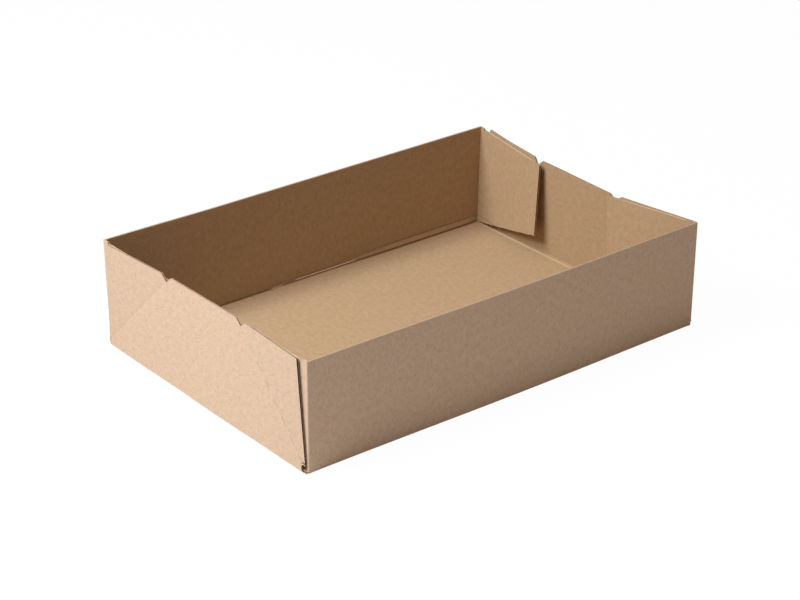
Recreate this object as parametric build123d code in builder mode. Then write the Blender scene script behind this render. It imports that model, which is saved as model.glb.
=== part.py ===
from build123d import *
from dataclasses import dataclass
from math import acos, cos, degrees, radians, sin, sqrt, tan
import os

# Shallow tray box, folded and glued from one die-cut sheet of fine-flute corrugated board.
# Millimetres. The origin is the middle of the underside, X runs along the length, Z is up.
#
# The sheet is a base, two long walls and two end panels. A glue flap folds off each end of
# a long wall and goes inside the end panel. A diagonal crease cuts a wing off each corner
# of an end panel, and the flap is glued to that wing only, so the box can fold flat.

# Driving sizes of the erected box
tray_length = 474.0  # over the two end creases
tray_width = 319.0  # over the two long walls
tray_height = 110.0
board = 1.8  # thickness of the corrugated board

# Folds and creases
fold_radius = 1.4  # round the outside of a right-angled fold
fold_pinch = 0.3  # round the inside of it
end_clearance = 1.0  # between the corner folds and the inside of the end panel
crease_width = 1.6  # crushed line of a diagonal crease
crease_board = 1.0  # board left in that line
crease_lap = 0.5  # how far the crushed line runs into the board at each side

# Ridges that the scoring of the base's four creases leaves inside the box
bead_width = 3.4
bead_height = 0.45
bead_bite = 0.3  # into the board that it stands on
bead_stop = 8.0  # short of the corner at each end
end_bead = 8.3  # on the base, from an end crease
wall_bead = 4.8  # on a long wall, over the underside

# Stretches of wall and panel that are drawn with their folds
corner_leg = 12.0
end_leg = 5.0

# End panels
near_lean = 2.4  # degrees, end at the lower X
far_lean = 7.7  # degrees, end at the higher X
notch_from_corner = 101.0
notch_width = 14.0
notch_depth = 5.5
wing_gap_top = 11.0  # free edge of a wing to the corner, at the rim
wing_gap_foot = 1.5  # the same at the base
relief_radius = 4.2  # round hole where base, wall, flap and end panel meet
relief_inset = 3.4  # its centre from the corner
relief_rise = 4.4  # and from the underside

# Perforation of the diagonal crease that has opened
cut_length = 9.0
cut_pitch = 18.0
cut_width = 0.6
cut_count = 7
first_cut = 22.0  # middle of the first cut from the notch

# Glue flaps
flap_length = 110.0
flap_foot_length = 104.5  # along the lower edge, where the free edge tapers in
flap_foot = 3.0  # lower edge over the underside, at the fold
flap_foot_end = 26.0  # and at the free edge
flap_drop = 1.4  # upper edge below the rim, at the fold
flap_drop_end = 4.0  # and at the free edge
corner_strip = 7.0  # stretch at the fold that keeps the full height
strip_step = 1.5

# Glue bead between a flap and its wing
glue_from_crease = 6.0
glue_width = 8.0
glue_start = 35.0  # along the crease
glue_end = 110.0
glue_bite = 0.8  # into the board at each side

wall_length = tray_length - 2 * (board + end_clearance)
half_width = tray_width / 2
crease_start = tray_height - notch_depth - notch_from_corner
crease_length = sqrt(2) * notch_from_corner
crease_half = crease_width / 2


@dataclass
class Corner:
    """One corner of the box, by the side it is on and how its flap and wing stand."""

    end: int  # -1 at the lower X, 1 at the higher X
    wall: int  # -1 at the lower Y, 1 at the higher Y
    lean: float  # of its end panel, in degrees
    flap_spring: float = 0.0  # how much further in than its end panel the flap turns
    wing_lift: float = 0.0  # how far the wing stands off the flap, about the diagonal
    perforated: bool = False

    @property
    def hand(self):
        """Side of the corner along the end panel's own plane."""
        return self.end * self.wall

    @property
    def flap_turn(self):
        """Angle of the flap in from square, seen from above."""
        return self.lean + self.flap_spring

    @property
    def wing_turn(self):
        """Fold of the diagonal crease that lays the wing along the flap, and its lift."""
        square = cos(radians(self.lean)) * cos(radians(self.flap_turn))
        return degrees(acos(square)) + self.wing_lift


corners = [
    Corner(end=-1, wall=1, lean=near_lean, wing_lift=0.8),
    Corner(end=-1, wall=-1, lean=near_lean, wing_lift=2.2, perforated=True),
    Corner(end=1, wall=1, lean=far_lean, flap_spring=0.4, wing_lift=3.0),
    Corner(end=1, wall=-1, lean=far_lean, wing_lift=0.2),
]


def end_plane(end, lean):
    """Outer face of an end panel, with Y up the panel from the base crease."""
    outward = (end * cos(radians(lean)), 0, sin(radians(lean)))
    return Plane(origin=(end * tray_length / 2, 0, 0), x_dir=(0, end, 0), z_dir=outward)


def crease_plane(corner):
    """Middle of the board at a diagonal crease, with X up along the crease."""
    panel = end_plane(corner.end, corner.lean)
    foot = panel.from_local_coords((corner.hand * half_width, crease_start, -board / 2))
    along = -corner.hand * panel.x_dir + panel.y_dir
    return Plane(origin=foot, x_dir=along, z_dir=panel.z_dir)


def wing_plane(corner):
    """Middle of the board of a wing, turned out of the end panel about the crease."""
    crease = crease_plane(corner)
    turn = radians(corner.wing_turn)
    outward = cos(turn) * crease.z_dir + corner.hand * sin(turn) * crease.y_dir
    return Plane(origin=crease.origin, x_dir=crease.x_dir, z_dir=outward)


def flap_plane(corner):
    """Outer face of a glue flap, from the corner fold, with Y up."""
    turn = radians(corner.flap_turn)
    outward = (corner.end * cos(turn), -corner.wall * sin(turn), 0)
    fold = (corner.end * wall_length / 2, corner.wall * half_width, 0)
    x_dir = (corner.wall * sin(turn), corner.end * cos(turn), 0)
    return Plane(origin=fold, x_dir=x_dir, z_dir=outward)


def on_panel(hand, reach, height):
    """Point of an end panel at a distance from the corner and a height up the panel."""
    return (hand * (half_width - reach), height)


def on_crease(hand, along, across):
    """Point by a diagonal crease: a distance up along it, and off it on the wing's side."""
    return (along, -hand * across)


def wing_point(hand, reach, height):
    """The same point as on_panel gives, measured along and off the diagonal crease."""
    rise = height - crease_start
    return on_crease(hand, (rise + reach) / sqrt(2), (rise - reach) / sqrt(2))


def glue_flap(corner):
    """Glue flap with the corner fold and the short stretch of wall that it folds off."""
    end, wall = corner.end, corner.wall
    turn = radians(corner.flap_turn)
    fold = (end * wall_length / 2, wall * half_width)
    along = (-end * sin(turn), -wall * cos(turn))
    inward = (-end * cos(turn), wall * sin(turn))
    setback = board * tan(radians(45 + corner.flap_turn / 2))
    tip = (fold[0] + flap_length * along[0], fold[1] + flap_length * along[1])
    bend = (fold[0] - end * setback, fold[1] - wall * board)
    with BuildPart() as made:
        with BuildSketch(Plane.XY.offset(flap_foot)) as strip:
            with BuildLine():
                Polyline(
                    (fold[0] - end * corner_leg, fold[1]),
                    fold,
                    tip,
                    (tip[0] + board * inward[0], tip[1] + board * inward[1]),
                    bend,
                    (fold[0] - end * corner_leg, bend[1]),
                    close=True,
                )
            make_face()
            fillet(strip.vertices().sort_by_distance(bend)[0], fold_pinch)
            fillet(strip.vertices().sort_by_distance(fold)[0], fold_radius)
        extrude(amount=tray_height - flap_foot)
        level = board + corner_leg * sin(turn)
        outline = (
            (-corner_leg, flap_foot),
            (level, flap_foot),
            (flap_foot_length, flap_foot_end),
            (flap_length, tray_height - flap_drop_end),
            (corner_strip + strip_step, tray_height - flap_drop),
            (corner_strip, tray_height),
            (-corner_leg, tray_height),
        )
        with BuildSketch(flap_plane(corner)):
            with BuildLine():
                Polyline([(-corner.hand * s, z) for s, z in outline], close=True)
            make_face()
        extrude(amount=2 * corner_leg, both=True, mode=Mode.INTERSECT)
    return made.part


def end_panel(end, lean):
    """End panel with its base fold, the wings beyond its creases and the reliefs."""
    here = [corner for corner in corners if corner.end == end]
    crease_offset = crease_half * sqrt(2)
    notch_floor = tray_height - notch_depth
    rise, run = end_leg * cos(radians(lean)), end_leg * sin(radians(lean))
    skin_x, skin_z = board * cos(radians(lean)), board * sin(radians(lean))
    setback = board * tan(radians(45 + lean / 2))
    with BuildPart() as made:
        with BuildSketch(Plane.XZ) as fold:
            with BuildLine():
                Polyline(
                    (end * wall_length / 2, 0),
                    (end * tray_length / 2, 0),
                    (end * (tray_length / 2 - run), rise),
                    (end * (tray_length / 2 - run - skin_x), rise - skin_z),
                    (end * (tray_length / 2 - setback), board),
                    (end * wall_length / 2, board),
                    close=True,
                )
            make_face()
            inside = (end * (tray_length / 2 - setback), board)
            fillet(fold.vertices().sort_by_distance(inside)[0], fold_pinch)
            outside = (end * tray_length / 2, 0)
            fillet(fold.vertices().sort_by_distance(outside)[0], fold_radius)
        extrude(amount=half_width - wing_gap_foot, both=True)

        centre = (
            (end_leg - crease_start + crease_offset, end_leg),
            (notch_from_corner, notch_floor - crease_offset),
            (notch_from_corner, notch_floor),
            (notch_from_corner + notch_width / 2, tray_height),
        )
        with BuildSketch(end_plane(end, lean)):
            with BuildLine():
                left = [on_panel(1, *point) for point in centre]
                right = [on_panel(-1, *point) for point in reversed(centre)]
                Polyline(left + right, close=True)
            make_face()
        extrude(amount=-board)

        notch_slope = notch_depth / (notch_width / 2)
        notch_run = crease_offset / (1 + notch_slope)
        wing = (
            (wing_gap_foot, crease_start + wing_gap_foot + crease_offset),
            (notch_from_corner - notch_run, notch_floor + notch_run * notch_slope),
            (notch_from_corner - notch_width / 2, tray_height),
            (wing_gap_top, tray_height),
        )
        for corner in here:
            with BuildSketch(wing_plane(corner)):
                with BuildLine():
                    Polyline([wing_point(corner.hand, *point) for point in wing], close=True)
                make_face()
            extrude(amount=board / 2, both=True)
            with BuildSketch(crease_plane(corner)):
                with Locations(((relief_radius + crease_length - crease_half) / 2, 0)):
                    length = crease_length - crease_half - relief_radius
                    Rectangle(length, crease_width + 2 * crease_lap)
            extrude(amount=crease_board / 2, both=True)
            if corner.perforated:
                last_cut = crease_length - first_cut
                with BuildSketch(crease_plane(corner)):
                    with Locations([(last_cut - cut_pitch * i, 0) for i in range(cut_count)]):
                        Rectangle(cut_length, cut_width)
                extrude(amount=board, both=True, mode=Mode.SUBTRACT)
            relief = corner.wall * (half_width - relief_inset)
            with BuildSketch(Plane.YZ.offset(end * tray_length / 2)):
                with Locations((relief, relief_rise)):
                    Circle(relief_radius)
                with Locations((relief, board + relief_radius)):
                    Rectangle(2 * relief_radius, 2 * relief_radius, mode=Mode.INTERSECT)
            extrude(amount=2 * relief_radius, both=True, mode=Mode.SUBTRACT)
    return made.part


def glue_bead(corner):
    """Bead of glue that joins a flap to its wing, from inside one board to the other."""
    ends = (glue_start, glue_end, glue_end, glue_start)
    sides = (glue_from_crease, glue_from_crease) + (glue_from_crease + glue_width,) * 2
    bead = tuple(zip(ends, sides))
    on_flap = [((l - a) / sqrt(2), crease_start + (l + a) / sqrt(2)) for l, a in bead]
    with BuildPart() as made:
        with BuildSketch(flap_plane(corner).offset(-glue_bite)):
            with BuildLine():
                Polyline([(-corner.hand * s, z) for s, z in on_flap], close=True)
            make_face()
        with BuildSketch(wing_plane(corner).offset(glue_bite - board / 2)):
            with BuildLine():
                Polyline([on_crease(corner.hand, *point) for point in bead], close=True)
            make_face()
        loft(ruled=True)
    return made.part


def score_bead(foot, out):
    """Outline of a ridge on a flat face, by the middle of its foot and the way that it faces."""

    def spot(along, up):
        return (foot[0] + along * out[1] + up * out[0], foot[1] - along * out[0] + up * out[1])

    half = bead_width / 2
    ThreePointArc(spot(-half, 0), spot(0, bead_height), spot(half, 0))
    Polyline(spot(half, 0), spot(half, -bead_bite), spot(-half, -bead_bite), spot(-half, 0))


with BuildPart() as trough:
    stretches = ((tray_height, wall_length / 2 - corner_leg), (flap_foot, wall_length / 2))
    for height, reach in stretches:
        with BuildSketch(Plane.YZ) as section:
            with BuildLine():
                Polyline(
                    (-half_width, height),
                    (-half_width, 0),
                    (half_width, 0),
                    (half_width, height),
                    (half_width - board, height),
                    (half_width - board, board),
                    (board - half_width, board),
                    (board - half_width, height),
                    close=True,
                )
            make_face()
            fillet(section.vertices().group_by(Axis.Y)[1], fold_pinch)
            fillet(section.vertices().group_by(Axis.Y)[0], fold_radius)
        extrude(amount=reach, both=True)
    with BuildSketch(Plane.XZ):
        for end in (-1, 1):
            with BuildLine():
                score_bead((end * (tray_length / 2 - end_bead), board), (0, 1))
            make_face()
    extrude(amount=half_width - bead_stop, both=True)
    with BuildSketch(Plane.YZ):
        for wall in (-1, 1):
            with BuildLine():
                score_bead((wall * (half_width - board), wall_bead), (-wall, 0))
            make_face()
    extrude(amount=wall_length / 2 - bead_stop, both=True)

flaps = [glue_flap(corner) for corner in corners]
ends = [end_panel(-1, near_lean), end_panel(1, far_lean)]
beads = [glue_bead(corner) for corner in corners]

with BuildPart() as tray:
    add(trough.part)
    add(flaps)
    add(ends)
    add(beads)
tray.part.label = "tray"

os.makedirs("parts", exist_ok=True)
export_step(tray.part, "parts/tray.step")
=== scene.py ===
"""Shallow tray box of corrugated kraft board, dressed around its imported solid.

The box is one die-cut sheet, folded and glued. This script lays the sheet out flat, as the
cutting die would, on grids that follow the flutes, and folds each grid point into place twice,
once for the outer liner and once for the inner one. The two liners are joined along every cut
edge by lips with a channel between them, in which the wave of the fluting shows. Sizes are in
metres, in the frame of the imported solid: X along the length, Z up, origin under the middle.
"""

from __future__ import annotations

import logging
import math
from dataclasses import dataclass, field
from enum import Enum

import bpy
import numpy as np
from mathutils import Matrix, Vector

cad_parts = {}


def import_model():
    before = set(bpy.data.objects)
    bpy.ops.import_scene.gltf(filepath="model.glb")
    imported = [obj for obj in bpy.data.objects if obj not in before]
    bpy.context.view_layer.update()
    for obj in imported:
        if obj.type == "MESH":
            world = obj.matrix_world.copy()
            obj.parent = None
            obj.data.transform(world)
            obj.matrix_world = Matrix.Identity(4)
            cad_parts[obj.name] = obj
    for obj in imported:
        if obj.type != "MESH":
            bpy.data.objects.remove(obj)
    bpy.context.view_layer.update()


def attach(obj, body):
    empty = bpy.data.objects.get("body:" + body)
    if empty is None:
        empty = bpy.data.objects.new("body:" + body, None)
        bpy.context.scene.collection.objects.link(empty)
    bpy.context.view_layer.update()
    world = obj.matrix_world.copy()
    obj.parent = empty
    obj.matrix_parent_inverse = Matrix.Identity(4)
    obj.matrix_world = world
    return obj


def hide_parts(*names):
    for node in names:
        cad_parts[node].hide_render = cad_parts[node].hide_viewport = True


LOG = logging.getLogger("tray_box")
MM = 0.001
BODY = "root"
NODE = "tray"
SHEET_MAP = "Sheet"
# Name of the point attribute for rubbing and scuffs, with painted highlight above 0 and painted
# shade below 0.
WEAR_AND_LIGHT = "wear"

# Slack in comparing two places, and reach of a weld in the blank, both in metres.
SLACK = 1e-9
WELD = 0.002 * MM
# Angle between faces past which their edge is sharp, in degrees.
SHARP_ANGLE = 38.0

# A fade's start, or its stop, and its length.
Span = tuple[float, float]


class Face(Enum):
    """Kinds of face on the board, in the order of its material slots."""

    OUTER_LINER = 0
    INNER_LINER = 1
    CUT_EDGE = 2


def smooth_step(t: np.ndarray) -> np.ndarray:
    """Ramp from 0 to 1 over t from 0 to 1, level at both ends: 3t^2 - 2t^3.

    Args:
        t: Values, of which those outside 0 to 1 are held at the ends.

    Returns:
        The ramp at each value.
    """
    held = np.clip(t, 0.0, 1.0)
    return held * held * (3.0 - 2.0 * held)


def hump(distance: np.ndarray, half_width: float) -> np.ndarray:
    """Round ridge of height 1: a raised cosine, zero from half_width outwards.

    Args:
        distance: Distance from the ridge's line.
        half_width: Where the ridge ends.

    Returns:
        The ridge's height at each distance.
    """
    return 0.5 + 0.5 * np.cos(np.pi * np.clip(distance / half_width, -1.0, 1.0))


def lopsided(distance: np.ndarray, reach: Span) -> np.ndarray:
    """Round ridge of height 1 with its own reach before its line and after it."""
    before, after = reach
    return hump(np.where(distance < 0.0, distance / before, distance / after), 1.0)


def fade_in(place: np.ndarray, span: Span) -> np.ndarray:
    """Smooth rise from 0 to 1, from a start over a length."""
    start, length = span
    return smooth_step((place - start) / length)


def fade_out(place: np.ndarray, span: Span) -> np.ndarray:
    """Smooth fall from 1 to 0, over a length up to a stop."""
    stop, length = span
    return smooth_step((stop - place) / length)


def stations(low: float, high: float, step: float, marks: list[float]) -> np.ndarray:
    """Grid positions from low to high: the multiples of step, with the marks added.

    Args:
        low: First position.
        high: Last position.
        step: Spacing of the regular positions.
        marks: Positions that the grid has to have, which push near regular ones out.

    Returns:
        The positions in rising order.
    """
    fixed = np.unique(np.round([low, high, *[m for m in marks if low < m < high]], 9))
    regular = step * np.arange(math.ceil(low / step), math.floor(high / step) + 1)
    clear = np.abs(regular[:, None] - fixed[None, :]).min(1) > 0.25 * step
    return np.sort(np.concatenate([fixed, regular[clear]]))


@dataclass(frozen=True)
class Board:
    """Single-wall corrugated board with a fine flute, and the look of its cut edges.

    The channel in a cut is deep where the cut crosses the flutes and shallow along them. A cut's
    values above 0 are paler and below 0 darker: raw fibre is paler, while deep channels and the
    inner lips of open flutes are painted dark as shade.
    """

    thickness: float = 1.8 * MM
    liner: float = 0.3 * MM
    medium: float = 0.22 * MM
    pitch: float = 3.35 * MM
    washboard: float = 0.022 * MM
    channel_along: float = 0.25 * MM
    channel_across: float = 1.6 * MM
    grid_steps: int = 4
    wave_steps: int = 4
    ribbon_sink: float = 0.1 * MM
    ribbon_share: float = 0.3
    ribbon_root: float = 0.15 * MM
    lip_wear: float = 0.1
    # Painted shade for the inner lips of open flutes and for deep channels and their fluting;
    # shallow cuts show paler raw fibre.
    hollow_lip_shade: float = -0.6
    shallow_wear: float = 0.5
    deep_shade: float = -1.0
    gloom_rate: float = 2.0
    rim_gloom: float = 0.6

    @property
    def step(self) -> float:
        """Grid spacing across the flutes."""
        return self.pitch / self.grid_steps

    def wave(self, across: np.ndarray) -> np.ndarray:
        """Place of the fluting, 1 at the outer liner and -1 at the inner: a cosine."""
        return np.cos(2.0 * np.pi * across / self.pitch)


@dataclass(frozen=True)
class Fold:
    """A crease folded to an angle, drawn in the plane square to its line.

    The plane's first axis runs along the outer face up to the fold's outer corner, and the
    second points to the inner side. The outer liner goes round an arc that touches both
    faces. The inner one goes round a smaller arc about a point further in.
    """

    turn: float
    board: Board
    outside: float = 1.4 * MM
    inside: float = 0.3 * MM
    reach: float = 14.0 * MM
    segments: int = 6

    @property
    def outer_start(self) -> float:
        """Distance from the outer corner at which the outer arc begins and ends."""
        return self.outside * math.tan(self.turn / 2.0)

    @property
    def inner_start(self) -> float:
        """The same for the inner arc."""
        return (self.board.thickness + self.inside) * math.tan(self.turn / 2.0)

    def inner_place(self, distance: np.ndarray) -> np.ndarray:
        """Where the inner liner is for an outer liner's distance from the corner.

        The whole difference of the two arcs' starts applies at the outer arc's start, and it
        fades evenly to nothing over the fold's reach.

        Args:
            distance: Distances from the outer corner, along either face.

        Returns:
            The distances for the inner liner.
        """
        share = np.clip(1.0 - (distance - self.outer_start) / self.reach, 0.0, 1.0)
        return distance + (self.inner_start - self.outer_start) * share

    def profile(self, before: np.ndarray, after: np.ndarray) -> tuple[np.ndarray, ...]:
        """Section through the fold, from the face before it to the face after it.

        Args:
            before: Falling distances from the outer corner on the first face.
            after: Rising distances from it on the second face.

        Returns:
            Outer points, inner points and the length of sheet up to each, from the corner.
        """
        angle = np.linspace(0.0, self.turn, self.segments + 1)
        onward = np.array([math.cos(self.turn), math.sin(self.turn)])
        sides = []
        for start, radius, depth in (
            (self.outer_start, self.outside, 0.0),
            (self.inner_start, self.inside, self.board.thickness),
        ):
            centre = np.array([-start, depth + radius])
            arc = centre + radius * np.stack([np.sin(angle), -np.cos(angle)], 1)
            first, second = before, after
            if depth:
                first, second = self.inner_place(before), self.inner_place(after)
            lead = np.stack([-first, np.full_like(first, depth)], 1)
            square = depth * np.array([-onward[1], onward[0]])
            tail = second[:, None] * onward + square
            sides.append(np.concatenate([lead, arc, tail]))
        path = np.concatenate([-before, self.outside * angle, after])
        path[len(before) : len(before) + len(angle)] -= self.outer_start
        path[len(before) + len(angle) :] += self.outside * self.turn - 2.0 * self.outer_start
        return sides[0], sides[1], path


@dataclass
class Patch:
    """A grid of the sheet: where each liner's points are, and where they lie in the blank."""

    outer: np.ndarray
    inner: np.ndarray
    blank: np.ndarray
    keep: np.ndarray | None = None

    def faces(self, grid: np.ndarray, outer: np.ndarray, inner: np.ndarray) -> np.ndarray:
        """Faces of the grid that are kept, turned to look out of the outer liner.

        Args:
            grid: Number of the welded point at each grid point.
            outer: Outer liner's place of each welded point.
            inner: Inner liner's place of each.

        Returns:
            The four point numbers of each face.
        """
        cells = np.stack([grid[:-1, :-1], grid[1:, :-1], grid[1:, 1:], grid[:-1, 1:]], -1)
        if self.keep is not None:
            cells = cells[self.keep]
        cells = cells.reshape(-1, 4)
        a, b, c, d = (outer[cells[:, i]] for i in range(4))
        facing = np.cross(c - a, d - b)
        flipped = (facing * (a - inner[cells[:, 0]])).sum() < 0
        return cells[:, ::-1] if flipped else cells


@dataclass(frozen=True)
class Corner:
    """One corner of the box, by the side it is on and how its flap and wing stand.

    The lean of the end panel, the flap's spring and the wing's lift are in degrees. The relief
    is a share of the whole one. The growths lengthen the flap, the second at its foot, and the
    drop lowers the top of its free end.
    """

    end: int
    wall: int
    lean: float
    flap_spring: float = 0.0
    wing_lift: float = 0.0
    perforated: bool = False
    relief: float = 1.0
    notch_depth: float = 5.5 * MM
    growth: float = 0.0
    foot_growth: float = 0.0
    drop: float = 0.0
    wing_gap: float = 11.0 * MM

    @property
    def flap_turn(self) -> float:
        """Angle of the flap in from square, seen from above, in radians."""
        return math.radians(self.lean + self.flap_spring)

    @property
    def wing_turn(self) -> float:
        """Fold of the diagonal crease that lays the wing along the flap, and its lift."""
        square = math.cos(math.radians(self.lean)) * math.cos(self.flap_turn)
        return math.acos(square) + math.radians(self.wing_lift)


@dataclass(frozen=True)
class Cut:
    """Outline of the erected sheet, as the die cuts it, and the relief of its scores.

    A ledge is given by the distances of its start, its crest and its foot from the fold. A
    crease's rows are shares of its half width, and its dents are those of the outer and the
    inner liner.
    """

    length: float = 474.0 * MM
    width: float = 319.0 * MM
    height: float = 110.0 * MM
    board_thickness: float = 1.8 * MM
    end_clearance: float = 1.0 * MM
    base_end: float = 2.8 * MM
    notch_from_corner: float = 101.0 * MM
    notch_width: float = 14.0 * MM
    notch_depth: float = 5.5 * MM
    wing_gap_foot: float = 1.5 * MM
    relief_radius: float = 4.2 * MM
    relief_inset: float = 3.4 * MM
    relief_rise: float = 4.4 * MM
    end_ledge: tuple[float, float, float] = (7.4 * MM, 4.8 * MM, 3.0 * MM)
    end_ledge_height: float = 0.7 * MM
    wall_ledge: tuple[float, float, float] = (4.9 * MM, 4.3 * MM, 2.8 * MM)
    wall_ledge_height: float = 0.95 * MM
    wall_ledge_least: float = 0.12
    wall_ledge_along: Span = (-60.0 * MM, 30.0 * MM)
    wall_ledge_growth: float = 3.6 * MM
    wall_growth_along: Span = (20.0 * MM, 110.0 * MM)
    ledge_fade: Span = (5.0 * MM, 3.0 * MM)
    valley_depth: float = 0.2
    valley_half: float = 0.9 * MM
    crease_half: float = 1.13 * MM
    crease_rows: tuple[float, ...] = (-1.0, -0.65, 0.65, 1.0)
    crease_dents: tuple[float, float] = (0.12 * MM, 0.22 * MM)
    crease_overrun: float = 0.6 * MM
    slit_half: float = 0.42 * MM
    cut_length: float = 9.0 * MM
    cut_pitch: float = 18.0 * MM
    cut_count: int = 7
    first_cut: float = 22.0 * MM

    @property
    def half_width(self) -> float:
        """From the middle to the outer face of a long wall."""
        return self.width / 2.0

    @property
    def wall_end(self) -> float:
        """From the middle to the outer corner of a corner fold."""
        return self.length / 2.0 - self.board_thickness - self.end_clearance

    @property
    def crease_start(self) -> float:
        """Height at which the line of a diagonal crease meets the corner."""
        return self.height - self.notch_depth - self.notch_from_corner

    @property
    def relief_edge(self) -> float:
        """Reach at which a corner relief ends."""
        return self.relief_inset + self.relief_radius

    def slits(self) -> np.ndarray:
        """Reach of each perforation's two ends from the corner.

        Each is a length along the diagonal, so its reach is that length over root two.

        Returns:
            The two reaches, a row for each perforation.
        """
        top = math.sqrt(2.0) * self.notch_from_corner - self.first_cut
        middle = top - self.cut_pitch * np.arange(self.cut_count)
        half = self.cut_length / 2.0
        return np.stack([middle - half, middle + half], 1) / math.sqrt(2.0)


@dataclass(frozen=True)
class Nudge:
    """How far one corner of the box has moved.

    It moves along X by one distance at the foot and another at the rim, counted outwards, and
    along Y outwards, and up. The long wall takes only a share of the foot's.
    """

    end: int
    wall: int
    foot: float
    rim: float
    side: float = 0.0
    rise: float = 0.0
    wall_share: float = 1.0


@dataclass(frozen=True)
class Settle:
    """Small bends by which the box has settled out of true, as smooth shifts of its points.

    The far end bows out beside its notch at the higher Y, and its base fold has rolled in. The
    foot of the near end bows in, and the long wall at the lower Y bows out. The corner at the
    lower X and the higher Y has risen off the floor, with its foot drawn in and its top pushed
    out. Its neighbour at the lower Y has opened outwards, and the corner at the higher X and
    the lower Y leans out.
    """

    end_bow: float = 3.0 * MM
    bow_middle: float = 52.0 * MM
    bow_reach: Span = (110.0 * MM, 70.0 * MM)
    far_sink: float = 1.3 * MM
    far_roll: float = 2.4 * MM
    roll_along: Span = (150.0 * MM, 75.0 * MM)
    roll_across: Span = (-150.0 * MM, 60.0 * MM)
    near_bow: float = 1.9 * MM
    near_middle: float = 70.0 * MM
    near_reach: Span = (110.0 * MM, 75.0 * MM)
    near_along: Span = (160.0 * MM, 70.0 * MM)
    wall_bow: float = 1.9 * MM
    wall_middle: float = 20.0 * MM
    wall_spread: float = 230.0 * MM
    wall_across: Span = (50.0 * MM, 105.0 * MM)
    half_width: float = 159.5 * MM
    height: float = 110.0 * MM
    nudge_along: Span = (95.0 * MM, 142.0 * MM)
    nudge_across: Span = (70.0 * MM, 90.0 * MM)
    wall_blend: Span = (0.0, 4.0 * MM)
    nudges: tuple[Nudge, ...] = (
        Nudge(end=-1, wall=1, foot=-2.3 * MM, rim=1.7 * MM, side=0.6 * MM, rise=1.0 * MM,
              wall_share=0.3),
        Nudge(end=-1, wall=-1, foot=0.7 * MM, rim=1.2 * MM),
        Nudge(end=1, wall=-1, foot=-1.3 * MM, rim=1.3 * MM, wall_share=-0.15),
    )

    def bow(self, points: np.ndarray) -> np.ndarray:
        """Points of the far end, bowed out in proportion to their height.

        Args:
            points: The points.

        Returns:
            The points in their new places.
        """
        moved = points.copy()
        up = points[..., 2] / self.height
        off = points[..., 1] - self.bow_middle
        moved[..., 0] += self.end_bow * lopsided(off, self.bow_reach) * up
        moved[..., 2] -= self.far_sink * up
        return moved

    def settled(self, points: np.ndarray, blank: np.ndarray) -> np.ndarray:
        """The sheet's points, with its folds, wall and corners moved.

        Args:
            points: The points.
            blank: Their places in the blank.

        Returns:
            The points in their new places.
        """
        x, y, z = (points[..., i] for i in range(3))
        up = z / self.height
        moved = points.copy()
        roll = fade_in(x, self.roll_along) * fade_in(y, self.roll_across)
        moved[..., 0] -= self.far_roll * roll * (1.0 - up)
        draw = self.near_bow * lopsided(y - self.near_middle, self.near_reach)
        draw = draw * fade_in(-x, self.near_along)
        moved[..., 0] += draw * (1.0 - up)
        out = self.wall_bow * hump(x - self.wall_middle, self.wall_spread)
        moved[..., 1] -= out * fade_in(-y, self.wall_across)
        beyond = np.abs(blank[..., 1]) - self.half_width
        for nudge in self.nudges:
            share = fade_in(nudge.end * x, self.nudge_along)
            share = share * fade_in(nudge.wall * y, self.nudge_across)
            hold = 1.0 - (1.0 - nudge.wall_share) * fade_in(beyond, self.wall_blend)
            shift = nudge.foot * hold * (1.0 - up) + nudge.rim * up
            moved[..., 0] += nudge.end * share * shift
            moved[..., 1] += nudge.wall * share * nudge.side
            moved[..., 2] += share * nudge.rise
        return moved


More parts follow.
